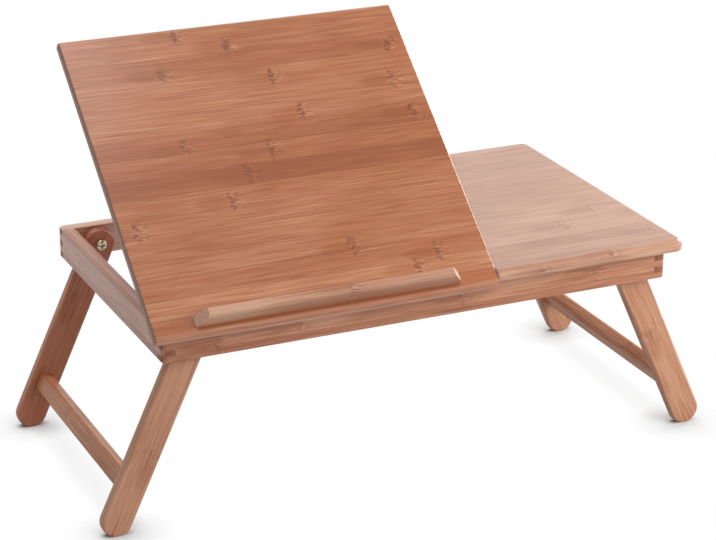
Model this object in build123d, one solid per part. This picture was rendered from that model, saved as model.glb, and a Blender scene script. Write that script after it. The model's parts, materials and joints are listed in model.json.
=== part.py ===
from build123d import *
import os
from math import acos, atan2, cos, degrees, hypot, radians, sin, tan

# Bamboo laptop tray: a finger-jointed frame, a fixed top on the right, a reading panel that tilts on
# the left, a prop under it, and two pairs of splayed legs that fold into the frame.
# Millimetres and degrees, +X to the right, +Y to the rear, +Z up.

# Top board, cut at the seam into the tilting panel and the fixed top
TOP_LENGTH = 600.0
TOP_DEPTH = 358.0
TOP_THICK = 13.0
PANEL_LENGTH = 376.0
SEAM = 1.0
CORNER_R = 10.0
UPPER_EDGE_R = 6.0
UNDER_EDGE_R = 3.0
PANEL_END_R = 1.5
CLOSE_GAP = 0.3

# Frame of four boards
END_OVERHANG = 13.5
SIDE_OVERHANG = 16.0
APRON_HEIGHT = 33.2
APRON_THICK = 13.9
FINGERS = 5
FRAME_CORNER_R = 6.0
FRAME_EDGE_R = 0.8

# Wooden dowels under the fixed top and in the rail ends
DOWEL_R = 3.0
DOWEL_LENGTH = 20.0
DOWEL_COVER = 6.0
DOWEL_INSET = 60.0

# Centre rail and the notched rack that the prop stands on
RAIL_WIDTH = 38.0
RAIL_DOWEL_SPACING = 22.0
RACK_WIDTH = 24.0
RACK_HEIGHT = 10.4
RACK_MARGIN = 10.0
NOTCH_COUNT = 5
NOTCH_PITCH = 12.0
NOTCH_DEPTH = 4.0
NOTCH_RAMP = 6.0
NOTCH_WALL = 3.0

# Tilting panel and its stop bar
TILT = 39.5
STOP_LENGTH = 290.0
STOP_DEPTH = 10.5
STOP_HEIGHT = 18.0
STOP_SET_BACK = 2.2
STOP_FOOT = 2.0
STOP_SLANT = 11.5
STOP_FRONT_R = 3.5
STOP_REAR_R = 2.0
STOP_SCREW_MARGIN = 22.0
STOP_SCREW_COUNT = 3

# Butt hinges
HINGE_LENGTH = 42.0
HINGE_INSET = 70.0
PROP_HINGE_LENGTH = 26.0
KNUCKLE_R = 2.5
KNUCKLE_GAP = 0.2
KNUCKLE_CLEAR = 0.4
PIN_R = 1.2
PIN_CLEAR = 0.05
LEAF_THICK = 1.2
LEAF_WIDTH = 13.0
LEAF_GAP = 0.4
LEAF_SCREW_SPREAD = 0.62

# Prop strut
PROP_WIDTH = 30.0
PROP_THICK = 10.0
PROP_END_GAP = 10.0
FOOT_GAP = 0.3

# Folding legs
LEG_WIDTH = 33.0
LEG_THICK = 12.5
LEG_EDGE_R = 3.0
LEG_TOP_GAP = 1.5
LEG_END_GAP = 6.2
PIVOT_INSET = 25.2
STOP_GAP = 0.1
FOOT_FLAT = 1.2
CROSSBAR_ACROSS = 17.0
CROSSBAR_ALONG = 20.0
CROSSBAR_EDGE_R = 4.5
CROSSBAR_FOOT_DISTANCE = 38.0
TENON_SHOULDER = 3.0
TENON_COVER = 4.5

# Leg pivot screws
PIVOT_R = 3.0
PIVOT_CLEAR = 0.05
PIVOT_HEAD_R = 6.0
PIVOT_HEAD_HEIGHT = 4.0
PIVOT_HEAD_DOME = 2.2
PIVOT_DRIVE_REACH = 3.6
PIVOT_DRIVE_WIDTH = 1.9
PIVOT_DRIVE_DEPTH = 2.0
PIVOT_HEAD_GAP = 0.2
PIVOT_TIP_GAP = 0.5
WASHER_R = 8.0
WASHER_THICK = 1.0
WASHER_GAP = 0.1
INSERT_R = 4.5
INSERT_COVER = 4.5

# Wood screws
SCREW_R = 1.5
SCREW_HEAD_R = 2.7
FRAME_SCREW_LENGTH = 12.0
SCREW_COVER = 3.0
DRIVE_WIDTH = 0.6
DRIVE_DEPTH = 0.4

# Places worked out from the sizes above
half_length = TOP_LENGTH / 2 - END_OVERHANG
half_depth = TOP_DEPTH / 2 - SIDE_OVERHANG
inner_x = half_length - APRON_THICK
inner_y = half_depth - APRON_THICK
panel_left = -TOP_LENGTH / 2
panel_right = panel_left + PANEL_LENGTH
panel_middle = (panel_left + panel_right) / 2
fixed_left = panel_right + SEAM
panel_thick = TOP_THICK - CLOSE_GAP

leg_r = LEG_WIDTH / 2
pivot_drop = leg_r + LEG_TOP_GAP
pivot_x = inner_x - PIVOT_INSET
leg_reach = pivot_x - leg_r - RAIL_WIDTH / 2 - LEG_END_GAP
pivot_rise = APRON_HEIGHT - pivot_drop
splay = degrees(acos((leg_r + STOP_GAP) / hypot(PIVOT_INSET, pivot_rise)) - atan2(pivot_rise, PIVOT_INSET))
pivot_z = leg_r - FOOT_FLAT + leg_reach * cos(radians(splay))
frame_top = pivot_z + pivot_drop
frame_bottom = frame_top - APRON_HEIGHT
leg_outer_y = inner_y - WASHER_THICK - WASHER_GAP
leg_inner_y = leg_outer_y - LEG_THICK

hinge_reach = KNUCKLE_R + KNUCKLE_CLEAR + CLOSE_GAP
hinge_y = -half_depth - hinge_reach
leaf_z = LEAF_GAP / 2 + LEAF_THICK
prop_offset = (LEAF_GAP + PROP_THICK) / 2
nose_r = PROP_THICK / 2
prop_lead = prop_offset * tan(radians(TILT / 2))
prop_set = (inner_y - PROP_END_GAP - nose_r - hinge_y - prop_lead) / 2
prop_y = hinge_y + prop_set
prop_reach = prop_set + prop_lead
nose_y = hinge_y + (prop_set + prop_reach) * cos(radians(TILT)) - prop_offset * sin(radians(TILT))
rack_top = frame_top - prop_offset / cos(radians(TILT / 2)) - nose_r - FOOT_GAP
rail_top = rack_top - RACK_HEIGHT
rail_z = (rail_top + frame_bottom) / 2

AT_BASE = (Align.CENTER, Align.CENTER, Align.MIN)


def block(x, y, z):
    # A box between a low and a high value on each axis
    centre = Pos((x[0] + x[1]) / 2, (y[0] + y[1]) / 2, (z[0] + z[1]) / 2)
    return centre * Box(x[1] - x[0], y[1] - y[0], z[1] - z[0])


def rod(radius, start, direction, length):
    # A cylinder that starts at a point and runs along a direction
    return Plane(origin=start, z_dir=direction).location * Cylinder(radius, length, align=AT_BASE)


def turned(angle, y, z):
    # A turn about the line along X through y and z
    return Pos(0, y, z) * Rot(angle, 0, 0) * Pos(0, -y, -z)


def cross_recess(place, reach, width, depth):
    # The cross that a screwdriver fits, sunk from the place's own origin along its Z
    slot = Box(2 * reach, width, depth, align=AT_BASE)
    return place * (slot + Rot(0, 0, 90) * slot)


def wood_screw(point, direction, length):
    # A countersunk screw and the plain hole that it fills
    place = Plane(origin=point, z_dir=direction).location
    head = place * Cone(SCREW_HEAD_R, SCREW_R, SCREW_HEAD_R - SCREW_R, align=AT_BASE)
    hole = head + place * Cylinder(SCREW_R, length, align=AT_BASE)
    return hole - cross_recess(place, SCREW_R, DRIVE_WIDTH, DRIVE_DEPTH), hole


def butt_hinge(length, lower_screw, upper_screw):
    # A closed hinge on the X axis, with both leaves reaching towards +Y
    half, sixth = length / 2, length / 6
    spans = [(-half, -sixth - KNUCKLE_GAP / 2), (-sixth + KNUCKLE_GAP / 2, sixth - KNUCKLE_GAP / 2),
             (sixth + KNUCKLE_GAP / 2, half)]
    bore = Pos(-half, 0, 0) * Rot(0, 90, 0) * Cylinder(PIN_R + PIN_CLEAR, length, align=AT_BASE)
    hinge = {"relief": Rot(0, 90, 0) * Cylinder(KNUCKLE_R + KNUCKLE_CLEAR, length + 2 * KNUCKLE_CLEAR)}
    for name, side, own, other, screw_length in (("lower", -1, (0, 2), (1,), lower_screw),
                                                 ("upper", 1, (1,), (0, 2), upper_screw)):
        faces = sorted((side * LEAF_GAP / 2, side * leaf_z))
        leaf = block((-half, half), (0, LEAF_WIDTH), faces)
        for index in own:
            low, high = spans[index]
            leaf += rod(KNUCKLE_R, (low, 0, 0), (1, 0, 0), high - low)
        for index in other:
            low, high = spans[index]
            leaf -= rod(KNUCKLE_R + KNUCKLE_CLEAR, (low - KNUCKLE_GAP, 0, 0), (1, 0, 0),
                        high - low + 2 * KNUCKLE_GAP)
        leaf -= bore
        screws, holes = [], []
        for end in (-1, 1):
            point = (end * half * LEAF_SCREW_SPREAD, (LEAF_WIDTH + hinge_reach) / 2, side * LEAF_GAP / 2)
            screw, hole = wood_screw(point, (0, 0, side), screw_length)
            screws.append(screw)
            holes.append(hole)
            leaf -= hole
        pocket = block((-half, half), (0, LEAF_WIDTH), sorted((-side * CLOSE_GAP, side * leaf_z)))
        hinge[name] = {"leaf": leaf, "screws": screws, "cuts": [pocket] + holes}
    hinge["pin"] = Pos(-half, 0, 0) * Rot(0, 90, 0) * Cylinder(PIN_R, length, align=AT_BASE)
    return hinge


def fixed_top():
    # The board beside the panel, with rounded right corners and edges, square at the seam
    board = block((fixed_left, TOP_LENGTH / 2), (-TOP_DEPTH / 2, TOP_DEPTH / 2), (frame_top, frame_top + TOP_THICK))
    board = fillet(board.edges().filter_by(Axis.Z).group_by(Axis.X)[-1], CORNER_R)
    for level, radius in ((-1, UPPER_EDGE_R), (0, UNDER_EDGE_R)):
        face = board.faces().filter_by(Axis.Z).sort_by(Axis.Z)[level]
        board = fillet(face.edges().sort_by(Axis.X)[1:], radius)
    return board


def reading_panel():
    # The closed panel, with rounded front and rear edges and eased ends
    low = frame_top + CLOSE_GAP
    board = block((panel_left, panel_right), (-TOP_DEPTH / 2, TOP_DEPTH / 2), (low, frame_top + TOP_THICK))
    for level, radius in ((-1, UPPER_EDGE_R), (0, UNDER_EDGE_R)):
        board = fillet(board.edges().filter_by(Axis.X).group_by(Axis.Z)[level], radius)
    return fillet(board.faces().filter_by(Axis.X).edges(), PANEL_END_R)


def frame_boards():
    # Four boards whose fingers pass each other at the rounded corners, with the outside eased all round
    envelope = Pos(0, 0, (frame_top + frame_bottom) / 2) * Box(2 * half_length, 2 * half_depth, APRON_HEIGHT)
    envelope = fillet(envelope.edges().filter_by(Axis.Z), FRAME_CORNER_R)
    envelope = fillet(envelope.faces().filter_by(Axis.Z).edges(), FRAME_EDGE_R)
    pitch = APRON_HEIGHT / FINGERS
    long_fingers, end_fingers = [], []
    for index in range(FINGERS):
        level = (frame_top - (index + 1) * pitch, frame_top - index * pitch)
        for end in (-1, 1):
            for side in (-1, 1):
                corner = block(sorted((end * inner_x, end * half_length)),
                               sorted((side * inner_y, side * half_depth)), level)
                (end_fingers if index % 2 else long_fingers).append(corner)
    heights = (frame_bottom, frame_top)
    boards = {}
    for name, side in (("front_apron", -1), ("rear_apron", 1)):
        board = block((-half_length, half_length), sorted((side * inner_y, side * half_depth)), heights)
        boards[name] = (board - end_fingers) & envelope
    for name, end in (("left_end_board", -1), ("right_end_board", 1)):
        board = block(sorted((end * inner_x, end * half_length)), (-half_depth, half_depth), heights)
        boards[name] = (board - long_fingers) & envelope
    return boards


def top_dowels():
    # Glued dowels between the frame and the fixed top
    side_y = (inner_y + half_depth) / 2
    end_x = (inner_x + half_length) / 2
    spots = [(x, side * side_y) for side in (-1, 1)
             for x in (fixed_left + DOWEL_INSET, half_length - DOWEL_INSET)]
    spots += [(end_x, side * (half_depth - DOWEL_INSET)) for side in (-1, 1)]
    foot = frame_top + TOP_THICK - DOWEL_COVER - DOWEL_LENGTH
    return [rod(DOWEL_R, (x, y, foot), (0, 0, 1), DOWEL_LENGTH) for x, y in spots]


def rail_dowels():
    # Dowels from the ends of the centre rail into the front and rear boards
    radius = (rail_top - frame_bottom) / 4
    start = half_depth - DOWEL_COVER
    return [rod(radius, (x, side * start, rail_z), (0, -side, 0), DOWEL_LENGTH)
            for side in (-1, 1) for x in (-RAIL_DOWEL_SPACING / 2, RAIL_DOWEL_SPACING / 2)]


def notched_rack():
    # A saw-toothed bar: each notch slopes down to the rear and ends in an upright wall
    front = nose_y - RACK_MARGIN
    rear = nose_y + (NOTCH_COUNT - 1) * NOTCH_PITCH + RACK_MARGIN
    outline = [(front, rail_top), (front, rack_top)]
    for index in range(NOTCH_COUNT):
        seat = nose_y + index * NOTCH_PITCH
        outline += [(seat - NOTCH_RAMP, rack_top), (seat + NOTCH_WALL, rack_top - NOTCH_DEPTH),
                    (seat + NOTCH_WALL, rack_top)]
    outline += [(rear, rack_top), (rear, rail_top)]
    section = make_face(Plane.YZ * Polyline(*outline, close=True))
    rack = extrude(section, RACK_WIDTH / 2, both=True)
    spots = (front + RACK_MARGIN / 2, rear - RACK_MARGIN / 2)
    return rack, spots


def stop_bar():
    # A low bar with slanted ends and eased upper edges, on the closed panel
    low = frame_top + TOP_THICK
    half = STOP_LENGTH / 2
    front = -TOP_DEPTH / 2 + UPPER_EDGE_R + STOP_SET_BACK
    outline = [(-half, 0), (half, 0), (half, STOP_FOOT), (half - STOP_SLANT, STOP_HEIGHT),
               (STOP_SLANT - half, STOP_HEIGHT), (-half, STOP_FOOT)]
    bar = extrude(make_face(Plane.XZ * Polyline(*outline, close=True)), -STOP_DEPTH)
    bar = Pos(panel_middle, front, low) * bar
    crest = bar.edges().filter_by(Axis.X).group_by(Axis.Z)[-1].sort_by(Axis.Y)
    bar = fillet(crest[0], STOP_FRONT_R)
    crest = bar.edges().filter_by(Axis.X).group_by(Axis.Z)[-1].sort_by(Axis.Y)
    return fillet(crest[-1], STOP_REAR_R)


def stop_bar_screws():
    # Screws up through the panel into the stop bar, between the hinges, with their holes
    low = frame_top + CLOSE_GAP
    y = -TOP_DEPTH / 2 + UPPER_EDGE_R + STOP_SET_BACK + STOP_DEPTH / 2
    run = PANEL_LENGTH - 2 * HINGE_INSET - HINGE_LENGTH - 2 * STOP_SCREW_MARGIN
    pairs = []
    for index in range(STOP_SCREW_COUNT):
        x = panel_middle - run / 2 + index * run / (STOP_SCREW_COUNT - 1)
        pairs.append(wood_screw((x, y, low), (0, 0, 1), panel_thick + STOP_HEIGHT / 2))
    return [screw for screw, hole in pairs], [hole for screw, hole in pairs]


def prop_strut():
    # A flat strut with a round nose, folded against the closed panel
    high = frame_top - LEAF_GAP / 2
    end = prop_y + prop_reach
    strut = block((-PROP_WIDTH / 2, PROP_WIDTH / 2), (prop_y + hinge_reach, end), (high - PROP_THICK, high))
    nose = rod(nose_r, (-PROP_WIDTH / 2, end, high - nose_r), (1, 0, 0), PROP_WIDTH)
    return strut + nose


def leg(side):
    # One leg hanging from its pivot at the origin, on the front or the rear side
    slot = Plane.XZ * (Pos(0, -leg_reach / 2) * Rot(0, 0, 90) * SlotCenterToCenter(leg_reach, LEG_WIDTH))
    board = extrude(slot, LEG_THICK / 2, both=True)
    board = fillet(board.faces().filter_by(Axis.Y).edges(), LEG_EDGE_R)
    bore = Rot(90, 0, 0) * Cylinder(PIVOT_R + PIVOT_CLEAR, 2 * LEG_THICK)
    return Pos(0, side * (leg_inner_y + leg_outer_y) / 2, 0) * (board - bore)


def crossbar():
    # A bar with eased edges and a blind tenon at each end, at its place between two hanging legs
    bar = Box(CROSSBAR_ACROSS, 2 * leg_inner_y, CROSSBAR_ALONG)
    bar = fillet(bar.edges().filter_by(Axis.Y), CROSSBAR_EDGE_R)
    tenon = 2 * (leg_inner_y + LEG_THICK - TENON_COVER)
    bar += Box(CROSSBAR_ACROSS - 2 * TENON_SHOULDER, tenon, CROSSBAR_ALONG - 2 * TENON_SHOULDER)
    return Pos(0, 0, CROSSBAR_FOOT_DISTANCE - leg_reach) * bar


def leg_pair(end):
    # Both legs and the crossbar of one end, splayed, with the feet cut flat at the floor
    place = Pos(end * pivot_x, 0, pivot_z) * Rot(0, -end * splay, 0)
    bar = crossbar()
    below = Pos(0, 0, -LEG_WIDTH) * Box(2 * TOP_LENGTH, 2 * TOP_DEPTH, 2 * LEG_WIDTH)
    legs = [(place * (leg(side) - bar)) - below for side in (-1, 1)]
    return legs, place * bar


def leg_pivots():
    # Screws, spacing washers and threaded inserts of the four leg pivots, and the holes they fill
    depth = APRON_THICK - INSERT_COVER
    screws, washers, inserts, holes = [], [], [], []
    for end in (-1, 1):
        for side in (-1, 1):
            inner = (end * pivot_x, side * inner_y, pivot_z)
            head = Plane(origin=(inner[0], side * (leg_inner_y - PIVOT_HEAD_GAP), pivot_z),
                         z_dir=(0, -side, 0)).location
            shank = inner_y - leg_inner_y + PIVOT_HEAD_GAP + depth - PIVOT_TIP_GAP
            cap = Cylinder(PIVOT_HEAD_R, PIVOT_HEAD_HEIGHT, align=AT_BASE)
            cap = fillet(cap.edges().sort_by(Axis.Z)[-1], PIVOT_HEAD_DOME)
            cap -= cross_recess(Pos(0, 0, PIVOT_HEAD_HEIGHT - PIVOT_DRIVE_DEPTH), PIVOT_DRIVE_REACH,
                                PIVOT_DRIVE_WIDTH, PIVOT_DRIVE_DEPTH)
            stem = Cylinder(PIVOT_R, shank, align=(Align.CENTER, Align.CENTER, Align.MAX))
            screws.append(head * (cap + stem))
            bore = rod(PIVOT_R, (inner[0], side * half_depth, pivot_z), (0, -side, 0), APRON_THICK + LEG_THICK)
            slack = rod(PIVOT_R + PIVOT_CLEAR, inner, (0, -side, 0), WASHER_THICK)
            washers.append(rod(WASHER_R, inner, (0, -side, 0), WASHER_THICK) - slack)
            sleeve = rod(INSERT_R, inner, (0, side, 0), depth)
            inserts.append(sleeve - bore)
            holes.append(sleeve)
    return screws, washers, inserts, holes


def build():
    nodes = frame_boards()
    dowels = top_dowels()
    ties = rail_dowels()
    screws, washers, inserts, sockets = leg_pivots()
    panel = reading_panel()

    # Frame, fixed top and the rail with its rack
    rail = block((-RAIL_WIDTH / 2, RAIL_WIDTH / 2), (-inner_y, inner_y), (frame_bottom, rail_top))
    rack, spots = notched_rack()
    bite = rail_top - frame_bottom + (RACK_HEIGHT - NOTCH_DEPTH) / 2
    rack_pairs = [wood_screw((0, y, frame_bottom), (0, 0, 1), bite) for y in spots]
    rack_holes = [hole for screw, hole in rack_pairs]
    nodes["fixed_top"] = fixed_top() - dowels
    nodes["top_dowels"] = dowels
    nodes["centre_rail"] = rail - ties - rack_holes
    nodes["rail_dowels"] = ties
    nodes["notched_rack"] = rack - rack_holes
    nodes["rack_screws"] = [screw for screw, hole in rack_pairs]
    nodes["front_apron"] = nodes["front_apron"] - dowels - ties - sockets
    nodes["rear_apron"] = nodes["rear_apron"] - dowels - ties - sockets
    nodes["right_end_board"] = nodes["right_end_board"] - dowels

    # Panel hinges, closed, along the upper front edge of the frame
    tilt = turned(TILT, hinge_y, frame_top)
    nodes["frame_leaf_screws"], nodes["panel_leaf_screws"] = [], []
    for name, x in (("left", panel_left + HINGE_INSET), ("right", panel_right - HINGE_INSET)):
        place = Pos(x, hinge_y, frame_top)
        hinge = butt_hinge(HINGE_LENGTH, FRAME_SCREW_LENGTH, panel_thick - SCREW_COVER)
        nodes["front_apron"] = nodes["front_apron"] - [place * cut for cut in hinge["lower"]["cuts"]]
        panel = panel - [place * cut for cut in hinge["upper"]["cuts"] + [hinge["relief"]]]
        nodes[name + "_hinge_frame_leaf"] = place * hinge["lower"]["leaf"]
        nodes[name + "_hinge_panel_leaf"] = tilt * place * hinge["upper"]["leaf"]
        nodes[name + "_hinge_pin"] = place * hinge["pin"]
        nodes["frame_leaf_screws"] += [place * screw for screw in hinge["lower"]["screws"]]
        nodes["panel_leaf_screws"] += [tilt * place * screw for screw in hinge["upper"]["screws"]]

    # Prop on its own hinge under the panel, opened twice as far as the panel is tilted
    place = Pos(0, prop_y, frame_top)
    swing = tilt * turned(-2 * TILT, prop_y, frame_top)
    hinge = butt_hinge(PROP_HINGE_LENGTH, PROP_THICK - SCREW_COVER, panel_thick - SCREW_COVER)
    strut = prop_strut() - [place * cut for cut in hinge["lower"]["cuts"]]
    panel = panel - [place * cut for cut in hinge["upper"]["cuts"] + [hinge["relief"]]]
    nodes["prop_strut"] = swing * strut
    nodes["prop_hinge_strut_leaf"] = swing * place * hinge["lower"]["leaf"]
    nodes["prop_hinge_panel_leaf"] = tilt * place * hinge["upper"]["leaf"]
    nodes["prop_hinge_pin"] = tilt * place * hinge["pin"]
    nodes["prop_strut_screws"] = [swing * place * screw for screw in hinge["lower"]["screws"]]
    nodes["prop_panel_screws"] = [tilt * place * screw for screw in hinge["upper"]["screws"]]

    # Stop bar, screwed on from under the panel
    stop_screws, stop_holes = stop_bar_screws()
    nodes["tilt_panel"] = tilt * (panel - stop_holes)
    nodes["stop_bar"] = tilt * (stop_bar() - stop_holes)
    nodes["stop_bar_screws"] = [tilt * screw for screw in stop_screws]

    # Legs and their pivots
    for name, end in (("left", -1), ("right", 1)):
        legs, nodes[name + "_crossbar"] = leg_pair(end)
        nodes["front_" + name + "_leg"], nodes["rear_" + name + "_leg"] = legs
    nodes["leg_pivot_screws"] = screws
    nodes["leg_pivot_washers"] = washers
    nodes["leg_pivot_inserts"] = inserts
    return nodes


def main():
    os.makedirs("parts", exist_ok=True)
    nodes = {}
    for name, shape in build().items():
        pieces = shape if isinstance(shape, list) else [shape]
        nodes[name] = [solid for piece in pieces for solid in piece.solids()]
    box = Compound([solid for solids in nodes.values() for solid in solids]).bounding_box()
    shift = Pos(0, -(box.min.Y + box.max.Y) / 2, 0)
    for name, solids in nodes.items():
        export_step(Compound([shift * solid for solid in solids]), f"parts/{name}.step")
    panel_axis = shift * Pos(0, hinge_y, frame_top)
    prop_axis = shift * turned(TILT, hinge_y, frame_top) * Pos(0, prop_y, frame_top)
    print("whole size", box.size, "splay", splay, "frame top", frame_top, "shift", shift.position.Y)
    print("panel axis", panel_axis.position, "prop axis", prop_axis.position)
    print("leg pivots", pivot_x, pivot_z, "feet", pivot_x + leg_reach * sin(radians(splay)), leg_inner_y)


main()
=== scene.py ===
import bmesh
import bpy
import json
from math import cos, radians, sin
from mathutils import Euler, Matrix, Vector

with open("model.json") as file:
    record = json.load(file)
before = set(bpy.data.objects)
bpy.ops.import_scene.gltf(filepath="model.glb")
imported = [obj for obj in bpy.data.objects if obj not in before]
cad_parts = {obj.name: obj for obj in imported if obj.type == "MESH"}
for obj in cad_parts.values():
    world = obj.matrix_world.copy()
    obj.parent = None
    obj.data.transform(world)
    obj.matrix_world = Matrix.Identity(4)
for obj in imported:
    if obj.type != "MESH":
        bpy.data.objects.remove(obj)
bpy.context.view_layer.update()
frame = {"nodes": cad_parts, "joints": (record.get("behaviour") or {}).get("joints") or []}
nodes = frame["nodes"]
joints = {joint["name"]: joint for joint in frame["joints"]}

# Angles and places of the boards at rest, from the joints, in degrees and metres
tilt = -joints["panel_tilt"]["range_deg"][0]
splay = joints["left_leg_fold"]["range_deg"][1] - 90
panelAxis = Vector(joints["panel_tilt"]["pos_m"])
propAxis = Vector(joints["prop_fold"]["pos_m"])
leftPivot = Vector(joints["left_leg_fold"]["pos_m"])
rightPivot = Vector(joints["right_leg_fold"]["pos_m"])
frameMiddle = Vector((0, leftPivot.y, panelAxis.z))  # middle of the frame at its upper edge


class Wire:
    # a shader socket that can be used in sums, and the maker of every node
    def __init__(self, tree, socket=None):
        self.tree, self.socket = tree, socket

    def node(self, kind, settings=None, values=None, out=0):
        made = self.tree.nodes.new("ShaderNode" + kind)
        for key, value in (settings or {}).items():
            if key == "stops":
                while len(made.color_ramp.elements) < len(value):
                    made.color_ramp.elements.new(1)
                for stop, (place, colour) in zip(made.color_ramp.elements, value):
                    stop.position, stop.color = place, colour
            else:
                setattr(made, key, value)
        for key, value in (values or {}).items():
            if isinstance(value, Wire):
                self.tree.links.new(value.socket, made.inputs[key])
            else:
                made.inputs[key].default_value = value
        return Wire(self.tree, made.outputs[out] if made.outputs else None)

    def pick(self, name):
        return Wire(self.tree, self.socket.node.outputs[name])

    def calc(self, operation, first, second=0.0):
        return self.node("Math", {"operation": operation}, {0: first, 1: second})

    def ease(self, low, high):
        # 0 at low and 1 at high, with a soft change between
        return self.node("MapRange", {"interpolation_type": "SMOOTHSTEP"}, {0: self, 1: low, 2: high})

    def swing(self, size):
        # a noise's rise and fall about its middle, brought to this size
        return (self - 0.5) * size

    def blend(self, first, second):
        # from the first colour to the second, by this value
        return self.node("Mix", {"data_type": "RGBA"}, {0: self, 6: first, 7: second}, out=2)

    def __abs__(self):
        return self.calc("ABSOLUTE", self)

    def __add__(self, other):
        return self.calc("ADD", self, other)

    def __sub__(self, other):
        return self.calc("SUBTRACT", self, other)

    def __rsub__(self, other):
        return self.calc("SUBTRACT", other, self)

    def __mul__(self, other):
        return self.calc("MULTIPLY", self, other)

    def __truediv__(self, other):
        return self.calc("DIVIDE", self, other)

    def __rtruediv__(self, other):
        return self.calc("DIVIDE", other, self)

    __radd__ = __add__
    __rmul__ = __mul__


def newFinish(name):
    finish = bpy.data.materials.new(name)
    finish.use_nodes = True
    finish.node_tree.nodes.clear()
    return finish, Wire(finish.node_tree)


def surface(wire, values):
    wire.node("OutputMaterial", values={"Surface": wire.node("BsdfPrincipled", values=values)})


def dress(finish, *names):
    for name in names:
        nodes[name].data.materials[0] = finish


# Bamboo: pressed strips with long fibres, darker nodes and open end grain, under satin lacquer
bamboo = {
    # tones from the darkest fibre to the palest, and how far each thing moves them
    "stops": [(0.0, (0.270, 0.100, 0.050, 1)), (0.36, (0.370, 0.155, 0.080, 1)),
              (0.64, (0.450, 0.215, 0.125, 1)), (1.0, (0.580, 0.330, 0.210, 1))],
    "lift": 0.52, "stripSpread": 0.42, "streakSpread": 0.60, "hairSpread": 1.25, "driftSpread": 0.34,
    "lineDark": 0.42, "lineEdge": (0.60, 0.74), "hueSpread": 0.016,
    "bands": [],  # darker strips, paler where the depth is negative, and painted shade and painted highlight along some front edges: middle, half width and depth
    "shade": None, "shadeCore": 0.5,  # one darker patch, such as a painted shadow, paler where its depth is negative: middle, reach and soft edge along, then as a band

    # strips, plies and the glue between strips; the steps tell strips and plies apart
    "stripWide": 0.0231, "stripShift": 0.0, "stripStep": 1.31,
    "plyThick": 0.0048, "plySlack": 0.04, "plyStep": 7.77,
    "wander": 0.0016, "wanderPace": 2.3, "driftPace": 9.0, "driftStep": 4.1,
    "glueLine": 0.0006, "glueDark": 0.34,

    # fibres: length, width, shift from strip to strip, detail
    "wave": (0.060, 0.020, 0.21, 1.0), "waveDeep": 0.0014,
    "streak": (0.15, 0.0046, 0.82, 3.0),
    "hair": (0.060, 0.0019, 0.48, 2.0),
    "line": (0.06, 0.0022, 0.37, 1.0),
    "hue": (0.11, 0.014, 0.29, 1.0),
    "dash": (0.0066, 0.0021, 0.0, 1.0),

    # nodes of the cane: their places along and across, then their patch, the flecks beside it and the tail
    "marks": [],
    "markLong": 0.0042, "markWide": 0.0132, "markStep": 0.083, "markBend": 0.010, "bendScale": 110.0,
    "ragged": 0.9, "raggedScale": 260.0,
    "knotTone": (0.190, 0.050, 0.018, 1), "knotDepth": 0.78, "knotEdge": (1.05, 0.60), "knotSway": 0.006,
    "knotBase": 0.22, "knotDash": (0.45, 0.57),
    "haloLong": 0.0105, "haloEdge": (1.0, 0.70), "haloDash": (0.52, 0.61), "haloDepth": 0.62,
    "fleck": 0.28, "fleckEdge": (0.48, 0.36),
    "tailLong": 0.026, "tailWide": 0.0090, "tailShift": 0.72, "tailEdge": (1.05, 0.45), "tailDark": 0.20,

    # end grain, its pores, and one end painted paler, as painted light
    "endTones": ((0.200, 0.066, 0.034, 1), (0.360, 0.150, 0.086, 1)), "endEdge": (0.72, 0.93),
    "endMatte": 0.85, "endDull": 0.2, "endPly": False, "plyEdge": (0.2, 0.8),
    "poreSize": 0.0013, "poreEdge": (0.75, 0.15), "poreShare": 0.4, "poreDip": (0.5, 0.1),
    "paintedLightTone": None, "paintedLightSide": -1, "paintedLightEdge": (0.60, 0.80), "paintedLightPores": 0.3,

    # lacquer, worn pale along the edges, with a painted sheen on the arrises
    "wearAndSheenWide": 0.0014, "wearAndSheenEdge": (0.995, 0.85), "wearAndSheenPatch": (0.38, 0.62),
    "wearAndSheenTone": (0.60, 0.36, 0.24, 1), "wearAndSheenDepth": 0.35, "wearAndSheenDull": 0.1,
    "roughness": 0.42, "fibreGloss": 0.25, "specular": 0.5, "coat": 0.9, "coatRoughness": 0.20,
    "grainDepth": 0.00012, "grainStrength": 0.55, "fibreRise": 0.5, "glueDip": 0.6,
}


def cosine(wire, first, second):
    return wire.node("VectorMath", {"operation": "DOT_PRODUCT"}, {0: first, 1: second}, out="Value")


def slowNoise(wire, place):
    return wire.node("TexNoise", {"noise_dimensions": "1D"}, {"W": place, "Scale": 1.0, "Detail": 1.0})


def fibres(wire, along, across, thick, code, kind):
    # noise drawn out along the grain, which starts anew in each strip
    run, pitch, step, detail = kind
    start = (along + code * step) / run
    spot = wire.node("CombineXYZ", values={"X": start, "Y": across / pitch, "Z": thick / pitch})
    return wire.node("TexNoise", values={"Vector": spot, "Scale": 1.0, "Detail": detail, "Roughness": 0.6})


def nearest(wire, first, second, places, long, wide):
    # distance to the nearest of the places, in ovals of this length and width
    spot = wire.node("CombineXYZ", values={"X": first / long, "Y": second / wide})
    field = None
    for placeFirst, placeSecond in places:
        away = wire.node("VectorMath", {"operation": "DISTANCE"},
                         {0: spot, 1: (placeFirst / long, placeSecond / wide, 0)}, out="Value")
        field = away if field is None else wire.calc("MINIMUM", field, away)
    return field


def shownFace(nodeName, look, turn):
    # where the face that shows lies on the axis through the board
    through = turn.to_matrix().col["XYZ".index(look["order"][2])]
    places = [through.dot(vertex.co - look["origin"]) for vertex in nodes[nodeName].data.vertices]
    return min(places) if look["inward"] > 0 else max(places)


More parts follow.
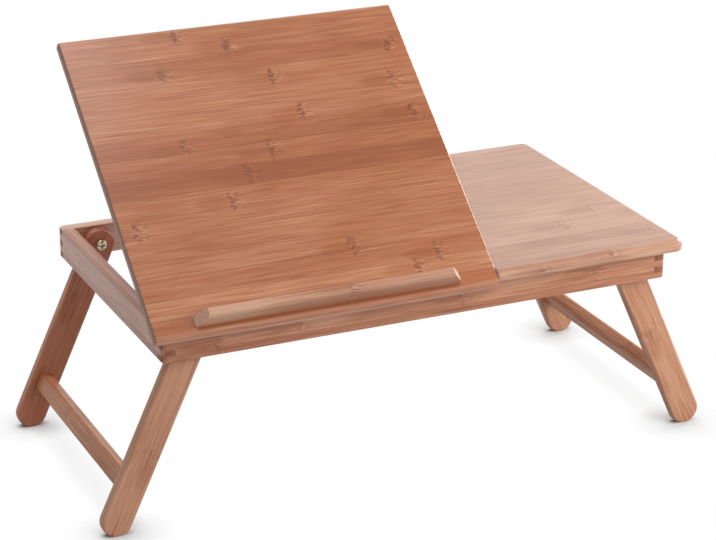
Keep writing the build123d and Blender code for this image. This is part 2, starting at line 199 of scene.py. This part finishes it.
def stripsAndPlies(wire, look, face, along, across, thick):
    # place in the strip, the ply, and a number of each strip's own
    bend = slowNoise(wire, along * look["wanderPace"] + look["seed"])
    stripAt = (across + bend.swing(look["wander"])) / look["stripWide"] + look["stripShift"]
    strip = wire.calc("FLOOR", stripAt)
    ply = wire.calc("FLOOR", (thick - face) * (look["inward"] / look["plyThick"]) + look["plySlack"])
    code = strip * look["stripStep"] + ply * look["plyStep"] + look["seed"]
    return stripAt - strip, ply, code


def caneNodes(wire, look, local, rough, along, across):
    # a ragged patch across the strip, flecked wood beside it, and a dark tail on the other side
    marks = look["marks"]
    if not marks:
        return 0.0, 0.0, 0.0
    bow = wire.node("TexNoise", values={"Vector": local, "Scale": look["bendScale"], "Detail": 1.0})
    markAt = along + bow.swing(look["markBend"])
    beside = markAt - look["markLong"]
    behind = markAt + look["tailLong"] * look["tailShift"]
    ragged = rough.swing(look["ragged"])
    knot = nearest(wire, markAt, across, marks, look["markLong"], look["markWide"]) + ragged
    halo = nearest(wire, beside, across, marks, look["haloLong"], look["markWide"]) + ragged
    tail = nearest(wire, behind, across, marks, look["tailLong"], look["tailWide"])
    return knot.ease(*look["knotEdge"]), halo.ease(*look["haloEdge"]), tail.ease(*look["tailEdge"])


def shadeTone(look, tone, along, across):
    # bands and one patch of tone, some of them painted shade, painted shadow and painted highlight
    for middle, half, dark in look["bands"]:
        tone = tone - abs(across - middle).ease(half, 0.0) * dark
    if look["shade"]:
        middle, reach, soft, place, half, dark = look["shade"]
        beside = abs(along - middle).ease(reach, reach - soft)
        tone = tone - abs(across - place).ease(half, half * look["shadeCore"]) * beside * dark
    return tone


def bambooFinish(nodeName, board):
    look = {**bamboo, **board}
    turn = Euler([radians(angle) for angle in look["turn"]])
    finish, wire = newFinish("bamboo." + nodeName)
    spot = wire.node("TexCoord", out="Object")
    local = wire.node("Mapping", {"vector_type": "TEXTURE"},
                      {"Vector": spot, "Location": look["origin"], "Rotation": turn})
    axes = wire.node("SeparateXYZ", values={"Vector": local})
    along, across, thick = (axes.pick(axis) for axis in look["order"])
    rough = wire.node("TexNoise", values={"Vector": local, "Scale": look["raggedScale"], "Detail": 3.0,
                                          "Roughness": 0.65})
    face = shownFace(nodeName, look, turn)
    inStrip, ply, code = stripsAndPlies(wire, look, face, along, across, thick)
    toss = wire.node("TexWhiteNoise", {"noise_dimensions": "1D"}, {"W": code})
    knot, halo, tail = caneNodes(wire, look, local, rough, along + ply * look["markStep"], across)

    # fibres that run along the board, break at each strip and bend round the nodes
    wave = fibres(wire, along, across, thick, code, look["wave"])
    sway = across + wave.swing(look["waveDeep"]) + knot * rough.swing(look["knotSway"])
    streak = fibres(wire, along, sway, thick, code, look["streak"])
    hair = fibres(wire, along, sway, thick, code, look["hair"])
    line = fibres(wire, along, sway, thick, code, look["line"]).ease(*look["lineEdge"])
    hue = fibres(wire, along, sway, thick, code, look["hue"])
    speck = fibres(wire, along, across, thick, code, look["dash"])
    drift = slowNoise(wire, along * look["driftPace"] + code * look["driftStep"])
    tone = (look["lift"] + toss.swing(look["stripSpread"]) + streak.swing(look["streakSpread"])
            + hair.swing(look["hairSpread"]) + drift.swing(look["driftSpread"]) - line * look["lineDark"]
            - tail * look["tailDark"] + halo * speck.ease(*look["fleckEdge"]) * look["fleck"])
    colour = wire.node("ValToRGB", {"stops": look["stops"]}, {"Fac": shadeTone(look, tone, along, across)})
    turned = 0.5 + hue.swing(look["hueSpread"])  # 0.5 leaves the hue as it is
    colour = wire.node("HueSaturation", values={"Color": colour, "Hue": turned})

    # thin glue lines, then the dashes of the nodes
    nearEdge = wire.calc("MINIMUM", inStrip, 1 - inStrip) * look["stripWide"]
    glue = nearEdge.ease(look["glueLine"], 0.0)
    colour = (glue * look["glueDark"]).blend(colour, look["knotTone"])
    dash = (knot * (look["knotBase"] + speck.ease(*look["knotDash"]) * (1 - look["knotBase"]))
            + halo * speck.ease(*look["haloDash"]) * look["haloDepth"])
    colour = (wire.calc("MINIMUM", dash, 1.0) * look["knotDepth"]).blend(colour, look["knotTone"])

    # end grain with the pores of the cane, in the tone of its strip or ply
    grainWay = turn.to_matrix().col["XYZ".index(look["order"][0])]
    facing = cosine(wire, wire.node("TexCoord", out="Normal"), grainWay)
    endFace = abs(facing).ease(*look["endEdge"])
    pores = wire.node("TexVoronoi", values={"Vector": local, "Scale": 1 / look["poreSize"]})
    hollows = pores.ease(*look["poreEdge"])
    layer = ply.ease(*look["plyEdge"]) if look["endPly"] else toss
    endTone = hollows * look["poreShare"] + layer * (1 - look["poreShare"])
    colour = endFace.blend(colour, endTone.blend(*look["endTones"]))
    # one end painted paler: painted light on it
    if look["paintedLightTone"]:
        paintedLight = (facing * look["paintedLightSide"]).ease(*look["paintedLightEdge"]) * (1 - hollows * look["paintedLightPores"])
        colour = paintedLight.blend(colour, look["paintedLightTone"])

    # lacquer worn pale along the edges, partly real wear and partly painted sheen on the arrises
    rounded = wire.node("Bevel", {"samples": 8}, {"Radius": look["wearAndSheenWide"]})
    flat = cosine(wire, wire.node("NewGeometry", out="Normal"), rounded)
    wearAndSheen = flat.ease(*look["wearAndSheenEdge"]) * rough.ease(*look["wearAndSheenPatch"])
    colour = (wearAndSheen * look["wearAndSheenDepth"]).blend(colour, look["wearAndSheenTone"])

    height = ((streak + hair) * look["fibreRise"] - glue * look["glueDip"]
              - pores.ease(*look["poreDip"]) * endFace)
    gloss = (look["roughness"] - streak.swing(look["fibreGloss"])
             + endFace * look["endDull"] + wearAndSheen * look["wearAndSheenDull"])
    normal = wire.node("Bump", values={"Strength": look["grainStrength"], "Distance": look["grainDepth"],
                                       "Height": height})
    surface(wire, {"Base Color": colour, "Roughness": gloss, "Specular IOR Level": look["specular"],
                   "Coat Weight": look["coat"] * (1 - endFace * look["endMatte"]),
                   "Coat Roughness": look["coatRoughness"], "Normal": normal})
    return finish


# Boards: origin and turn give the board's own axes, order names them along, across and through,
# and inward is the way into the board from the face that shows; places and lengths are in metres
level = (0, 0, 0)
panelTurn = (tilt, 0, 0)
leftTurn, rightTurn = (0, splay, 0), (0, -splay, 0)

tiltPanel = {
    "origin": panelAxis, "turn": panelTurn, "order": "XYZ", "inward": -1, "seed": 3.0,
    "stripShift": -0.30, "plyThick": 0.0060, "endPly": True,
    # the last band is a painted highlight on the rounded front edge
    "bands": [(0.172, 0.060, 0.36), (0.083, 0.030, 0.12), (0.030, 0.035, -0.14), (-0.0122, 0.0060, -0.20)],
    "shade": (-0.112, 0.1435, 0.004, -0.0058, 0.0040, 0.7),  # painted shadow in front of the stop bar
    "endTones": ((0.165, 0.062, 0.028, 1), (0.420, 0.265, 0.190, 1)),
    "stops": [(0.0, (0.300, 0.085, 0.026, 1)), (0.36, (0.385, 0.122, 0.045, 1)),
              (0.64, (0.450, 0.170, 0.075, 1)), (1.0, (0.560, 0.260, 0.140, 1))],
    "marks": [(-0.177, 0.334), (-0.124, 0.315), (-0.204, 0.289), (-0.207, 0.197), (-0.088, 0.270),
              (-0.069, 0.223), (-0.116, 0.183), (-0.149, 0.158), (-0.177, 0.130), (-0.285, 0.108),
              (0.055, 0.293), (0.046, 0.249), (0.054, 0.205), (-0.068, 0.056), (-0.007, 0.021),
              (0.021, 0.035)],
}
fixedTop = {
    "origin": frameMiddle, "turn": level, "order": "XYZ", "inward": -1, "seed": 11.0,
    "marks": [(0.2535, -0.0546), (0.2022, -0.0902), (0.2836, -0.1357), (0.211, -0.178), (0.131, 0.062),
              (0.164, 0.141)],
    # the bands paint shade on the top just behind the front edge and a highlight on the rounded front edge
    "bands": [(-0.1675, 0.0085, 0.17), (-0.1785, 0.0075, -0.16)],
    "lift": 0.62, "stripSpread": 0.28, "streakSpread": 0.48, "hairSpread": 1.10,
    "knotDepth": 0.52, "coatRoughness": 0.34, "wearAndSheenDepth": 0.14,
    # paler end grain and a pale seam end, painted light that lifts the shade in the gap at the seam
    "endTones": ((0.380, 0.205, 0.135, 1), (0.480, 0.280, 0.190, 1)), "paintedLightTone": (0.96, 0.72, 0.58, 1),
}
stopBar = {
    "origin": panelAxis, "turn": panelTurn, "order": "XYZ", "inward": -1, "seed": 23.0,
    "plyThick": 0.03, "stripWide": 0.03, "stripShift": 0.6, "marks": [(-0.0926, 0.006)],
    # the band paints shade on the lower front face
    "bands": [(-0.0050, 0.0046, 0.20)],
    "shade": (-0.257, 0.130, 0.120, 0.0, 0.05, -0.42),  # paler towards the left end
    "lift": 0.84, "streakSpread": 0.36, "hairSpread": 0.85, "lineDark": 0.22,
    "coat": 0.45, "coatRoughness": 0.14, "endMatte": -1.0,
    "endTones": ((0.420, 0.225, 0.140, 1), (0.530, 0.315, 0.205, 1)),
    # the right end is painted pale, a painted highlight
    "paintedLightTone": (0.80, 0.62, 0.50, 1), "paintedLightSide": 1,
}
frameLook = {"origin": frameMiddle, "turn": level, "stripWide": 0.0215, "stripShift": 0.15,
             "coat": 0.3, "specular": 0.4, "lift": 0.60, "knotDepth": 0.40, "fleck": 0.12}
frontApron = {
    **frameLook, "order": "XZY", "inward": 1, "seed": 31.0,
    "marks": [(-0.228, -0.020), (-0.141, -0.013), (0.043, -0.014), (0.200, -0.012)],
    "stops": [(0.0, (0.285, 0.095, 0.045, 1)), (0.36, (0.390, 0.147, 0.072, 1)),
              (0.64, (0.470, 0.203, 0.112, 1)), (1.0, (0.600, 0.312, 0.188, 1))],
}
rearApron = {
    # paler stops, partly the board's own tone and partly painted light on its inner face and top edge
    **frameLook, "order": "XZY", "inward": -1, "seed": 37.0, "lift": 0.80,
    "marks": [(-0.196, -0.010), (-0.021, -0.024), (0.172, -0.012)],
    "stops": [(0.0, (0.390, 0.190, 0.115, 1)), (0.36, (0.510, 0.270, 0.175, 1)),
              (0.64, (0.610, 0.350, 0.240, 1)), (1.0, (0.740, 0.470, 0.350, 1))],
}
leftEnd = {
    **frameLook, "order": "YZX", "inward": 1, "seed": 41.0, "marks": [(-0.072, -0.022), (0.091, -0.011)],
    "knotDepth": 0.3, "streakSpread": 0.35, "hairSpread": 0.8, "driftSpread": 0.2,
    "stops": [(0.0, (0.300, 0.105, 0.060, 1)), (0.36, (0.410, 0.162, 0.095, 1)),
              (0.64, (0.500, 0.225, 0.148, 1)), (1.0, (0.640, 0.345, 0.245, 1))],
}
rightEnd = {
    **frameLook, "order": "YZX", "inward": -1, "seed": 43.0, "marks": [(-0.101, -0.011), (0.064, -0.022)],
}
legLook = {
    "order": "ZXY", "inward": 1, "stripWide": 0.034, "stripShift": 0.5, "plyThick": 0.02,
    "lift": 0.86, "streakSpread": 0.50, "hairSpread": 0.9, "driftSpread": 0.3,
    "coat": 0.15, "specular": 0.35, "knotDepth": 0.32, "fleck": 0.10,
    "stops": [(0.0, (0.275, 0.095, 0.045, 1)), (0.36, (0.377, 0.148, 0.073, 1)),
              (0.64, (0.459, 0.205, 0.114, 1)), (1.0, (0.590, 0.315, 0.192, 1))],
}
frontLeftLeg = {**legLook, "origin": leftPivot, "turn": leftTurn, "seed": 53.0, "marks": [(-0.127, 0.006)]}
rearLeftLeg = {
    # a darker copy of the leg tones: painted shade under the tray
    **legLook, "origin": leftPivot, "turn": leftTurn, "seed": 59.0, "lift": 0.62,
    "marks": [(-0.061, -0.006), (-0.183, 0.007)],
    "stops": [(0.0, (0.297, 0.090, 0.042, 1)), (0.36, (0.407, 0.140, 0.066, 1)),
              (0.64, (0.495, 0.193, 0.104, 1)), (1.0, (0.638, 0.297, 0.174, 1))],
}
frontRightLeg = {**legLook, "origin": rightPivot, "turn": rightTurn, "seed": 61.0,
                 "marks": [(-0.092, -0.007)]}
rearRightLeg = {**legLook, "origin": rightPivot, "turn": rightTurn, "seed": 67.0,
                "marks": [(-0.140, 0.006)]}
barLook = {
    "order": "YXZ", "inward": 1, "plyThick": 0.5, "stripWide": 0.03, "stripShift": 0.5,
    "lift": 0.66, "coat": 0.12, "specular": 0.3, "knotDepth": 0.40, "fleck": 0.12,
    "stops": [(0.0, (0.310, 0.105, 0.045, 1)), (0.36, (0.425, 0.160, 0.072, 1)),
              (0.64, (0.517, 0.222, 0.110, 1)), (1.0, (0.667, 0.335, 0.185, 1))],
}
leftBar = {**barLook, "origin": leftPivot, "turn": leftTurn, "seed": 71.0, "marks": [(0.038, 0.0)]}
rightBar = {**barLook, "origin": rightPivot, "turn": rightTurn, "seed": 73.0, "marks": [(-0.052, 0.0)]}
innerLook = {"origin": frameMiddle, "turn": level, "order": "YXZ", "inward": 1,
             "plyThick": 1.2, "lift": 0.6}
centreRail = {**innerLook, "seed": 79.0, "stripWide": 0.021, "marks": [(-0.060, -0.010), (0.088, 0.011)]}
notchedRack = {**innerLook, "seed": 83.0, "stripWide": 0.03}
propStrut = {
    **innerLook, "origin": propAxis, "turn": (-tilt, 0, 0), "seed": 89.0, "stripWide": 0.02,
    "marks": [(0.071, -0.006)],
}
dowelLook = {**innerLook, "stripWide": 0.5, "stripShift": 0.5}
topDowels = {**dowelLook, "order": "ZXY", "seed": 97.0}
railDowels = {**dowelLook, "seed": 101.0}

boards = {"tilt_panel": tiltPanel, "fixed_top": fixedTop, "stop_bar": stopBar, "front_apron": frontApron,
          "rear_apron": rearApron, "left_end_board": leftEnd, "right_end_board": rightEnd,
          "front_left_leg": frontLeftLeg, "rear_left_leg": rearLeftLeg, "front_right_leg": frontRightLeg,
          "rear_right_leg": rearRightLeg, "left_crossbar": leftBar, "right_crossbar": rightBar,
          "centre_rail": centreRail, "notched_rack": notchedRack, "prop_strut": propStrut,
          "top_dowels": topDowels, "rail_dowels": railDowels}
for nodeName, board in boards.items():
    dress(bambooFinish(nodeName, board), nodeName)
print("bamboo:", len(boards), "boards, bars and dowels")


# Plated steel: straw and pale patches of the yellow zinc, with fine scratches, and dirt with painted shade
# in the hollows
plating = {"patchEdge": (0.34, 0.66), "patchGloss": 0.3, "drawn": (0.06, 1.0, 1.0), "scratchGloss": 0.2,
           "strength": 0.5, "dirtAndShade": (0.045, 0.034, 0.022, 1), "dirtAndShadeEdge": (0.80, 0.45)}
zincHinges = {**plating, "tones": ((0.50, 0.41, 0.24, 1), (0.66, 0.60, 0.46, 1)), "patch": 190.0,
              "scratch": 1500.0, "roughness": 0.34, "depth": 0.00003, "recess": 0.0012}
zincScrews = {**plating, "tones": ((0.60, 0.50, 0.32, 1), (0.80, 0.75, 0.62, 1)), "patch": 260.0,
              "scratch": 2200.0, "roughness": 0.28, "depth": 0.00002, "recess": 0.0025}
brassInserts = {**plating, "tones": ((0.55, 0.36, 0.13, 1), (0.78, 0.58, 0.27, 1)), "patch": 240.0,
                "scratch": 1800.0, "roughness": 0.30, "depth": 0.00002, "recess": 0.0012}


def platedFinish(name, look):
    finish, wire = newFinish(name)
    spot = wire.node("TexCoord", out="Object")
    patch = wire.node("TexNoise", values={"Vector": spot, "Scale": look["patch"], "Detail": 3.0,
                                          "Roughness": 0.6})
    drawn = wire.node("Mapping", values={"Vector": spot, "Scale": look["drawn"]})
    scratch = wire.node("TexNoise", values={"Vector": drawn, "Scale": look["scratch"], "Detail": 2.0})
    # dirt and painted shade darken the recesses
    dirtAndShadeMask = wire.node("AmbientOcclusion", {"samples": 8, "only_local": True},
                       {"Distance": look["recess"]}, out="AO")
    metal = patch.ease(*look["patchEdge"]).blend(*look["tones"])
    gloss = look["roughness"] + patch.swing(look["patchGloss"]) + scratch.swing(look["scratchGloss"])
    normal = wire.node("Bump", values={"Strength": look["strength"], "Distance": look["depth"],
                                       "Height": scratch})
    surface(wire, {"Base Color": dirtAndShadeMask.ease(*look["dirtAndShadeEdge"]).blend(metal, look["dirtAndShade"]), "Metallic": 1.0,
                   "Roughness": gloss, "Normal": normal})
    return finish


dress(platedFinish("zinc.hinges", zincHinges),
      "left_hinge_frame_leaf", "left_hinge_panel_leaf", "left_hinge_pin",
      "right_hinge_frame_leaf", "right_hinge_panel_leaf", "right_hinge_pin",
      "prop_hinge_strut_leaf", "prop_hinge_panel_leaf", "prop_hinge_pin")
dress(platedFinish("zinc.screws", zincScrews),
      "frame_leaf_screws", "panel_leaf_screws", "prop_strut_screws", "prop_panel_screws",
      "rack_screws", "stop_bar_screws", "leg_pivot_screws")
dress(platedFinish("brass.inserts", brassInserts), "leg_pivot_inserts")

# Nylon washers: pale, with a faint cloud
nylonWashers = {"tones": ((0.60, 0.57, 0.50, 1), (0.72, 0.70, 0.64, 1)), "roughness": 0.46,
                "cloud": 320.0, "cloudEdge": (0.35, 0.65), "cloudGloss": 0.2}


def nylonFinish(name, look):
    finish, wire = newFinish(name)
    spot = wire.node("TexCoord", out="Object")
    cloud = wire.node("TexNoise", values={"Vector": spot, "Scale": look["cloud"], "Detail": 2.0})
    surface(wire, {"Base Color": cloud.ease(*look["cloudEdge"]).blend(*look["tones"]),
                   "Roughness": look["roughness"] + cloud.swing(look["cloudGloss"])})
    return finish


dress(nylonFinish("nylon.washers", nylonWashers), "leg_pivot_washers")
print("hardware: hinges, screws, inserts and washers")


# Floor and studio: white to the camera and in reflections, with soft shadows kept at the feet
studio = {
    "floorSize": 14.0, "floorParts": 8, "floorDrop": 0.0001, "floorTone": (0.60, 0.60, 0.60, 1),
    "nearGlow": 0.0, "midGlow": 0.99,  # how white it is in the shadows at the feet, and round them
    "shadowReach": 0.044, "shadowRange": (0.46, 0.97), "openReach": (0.55, 1.10),
    "floorShine": 0.25, "behind": (0.12, 0.45),  # how white it is in a gloss, and where that grows
    "ambient": 0.34, "horizon": (0.88, 0.50), "white": (1, 1, 1, 1),
}
lamps = {  # place, aim, size in metres, power in watts, and whether it shows in the gloss
    "overhead": ((-0.40, 0.43, 2.15), (-0.40, 0.43, 0.0), (1.45, 1.45), 20.0, True),
    "rightRear": ((1.60, 0.55, 0.75), (0.0, 0.0, 0.22), (0.5, 0.7), 13.0, True),
    "rightFront": ((1.10, -0.90, 0.70), (0.0, 0.0, 0.22), (0.7, 0.7), 11.5, False),
    "frontFill": ((0.60, -2.30, 1.50), (0.0, 0.0, 0.20), (1.6, 1.4), 18.0, False),
}


def seenRays(wire, shine):
    # 1 for what the camera sees or sees through, and this share for what shows in a gloss
    path = wire.node("LightPath", out="Is Camera Ray")
    seen = path + path.pick("Is Glossy Ray") * shine + path.pick("Is Transmission Ray")
    return wire.calc("MINIMUM", seen, 1.0)


def floorPaint():
    paint, wire = newFinish("floor.white")
    spot = wire.node("TexCoord", out="Object")
    axes = wire.node("SeparateXYZ", values={"Vector": spot})
    openness = wire.node("AmbientOcclusion", {"samples": 4}, {"Distance": studio["shadowReach"]}, out="AO")
    reach = wire.node("VectorMath", {"operation": "LENGTH"}, {0: spot}, out="Value")
    near, mid = studio["nearGlow"], studio["midGlow"]
    glow = (near + openness.ease(*studio["shadowRange"]) * (mid - near)
            + reach.ease(*studio["openReach"]) * (1 - mid))
    shine = studio["floorShine"] + axes.pick("Y").ease(*studio["behind"]) * (1 - studio["floorShine"])
    matte = wire.node("BsdfDiffuse", values={"Color": studio["floorTone"]})
    light = wire.node("Emission", values={"Color": studio["white"], "Strength": 1.0})
    above = wire.node("MixShader", values={0: seenRays(wire, shine) * glow, 1: matte, 2: light})
    below = wire.node("BsdfTransparent")  # the tray's underside shows through the floor
    side = wire.node("NewGeometry", out="Backfacing")
    sides = wire.node("MixShader", values={0: side, 1: above, 2: below})
    wire.node("OutputMaterial", values={"Surface": sides})
    return paint


def makeFloor():
    mesh = bpy.data.meshes.new("floor")
    plan = bmesh.new()
    parts = studio["floorParts"]
    bmesh.ops.create_grid(plan, x_segments=parts, y_segments=parts, size=studio["floorSize"] / 2)
    plan.to_mesh(mesh)
    plan.free()
    mesh.materials.append(floorPaint())
    floor = bpy.data.objects.new("floor", mesh)
    floor.location.z = -studio["floorDrop"]
    bpy.context.scene.collection.objects.link(floor)


def lightStudio():
    world = bpy.data.worlds.new("studio")
    bpy.context.scene.world = world
    world.use_nodes = True
    world.node_tree.nodes.clear()
    wire = Wire(world.node_tree)
    rise = wire.node("SeparateXYZ", values={"Vector": wire.node("TexCoord", out="Generated")}).pick("Z")
    seen = seenRays(wire, rise.ease(*studio["horizon"]))
    back = wire.node("Background", values={"Color": studio["white"],
                                           "Strength": seen + (1 - seen) * studio["ambient"]})
    wire.node("OutputWorld", values={"Surface": back})
    for name, (place, aim, size, power, shows) in lamps.items():
        lamp = bpy.data.lights.new(name, "AREA")
        lamp.shape, lamp.energy = "RECTANGLE", power
        lamp.size, lamp.size_y = size
        stand = bpy.data.objects.new(name, lamp)
        stand.location = place
        stand.rotation_euler = (Vector(aim) - Vector(place)).to_track_quat("-Z", "Y").to_euler()
        stand.visible_camera, stand.visible_glossy = False, shows
        bpy.context.scene.collection.objects.link(stand)


makeFloor()
lightStudio()
print("studio:", len(lamps), "lamps")

# Camera: it looks at target from its own side and height, a little rolled
lens = {"target": (0.032948, 0.078253, 0.150), "azimuth": -24.728, "elevation": 21.603, "roll": 0.328,
        "distance": 2.69830, "focal": 120.947, "sensor": 36.0, "clip": (0.05, 60)}


def placeCamera():
    turn, rise = radians(lens["azimuth"]), radians(lens["elevation"])
    back = Vector((sin(turn) * cos(rise), -cos(turn) * cos(rise), sin(rise)))
    view = bpy.data.cameras.new("camera")
    view.lens, view.sensor_width = lens["focal"], lens["sensor"]
    view.clip_start, view.clip_end = lens["clip"]
    stand = bpy.data.objects.new("camera", view)
    place = Matrix.Translation(Vector(lens["target"]) + back * lens["distance"])
    facing = back.to_track_quat("Z", "Y").to_matrix().to_4x4()
    roll = Matrix.Rotation(radians(lens["roll"]), 4, "Z")
    stand.matrix_world = place @ facing @ roll
    bpy.context.scene.collection.objects.link(stand)
    bpy.context.scene.camera = stand


placeCamera()
bpy.context.scene.view_settings.view_transform = "Standard"
print("camera:", lens["focal"], "mm at", lens["distance"], "m")
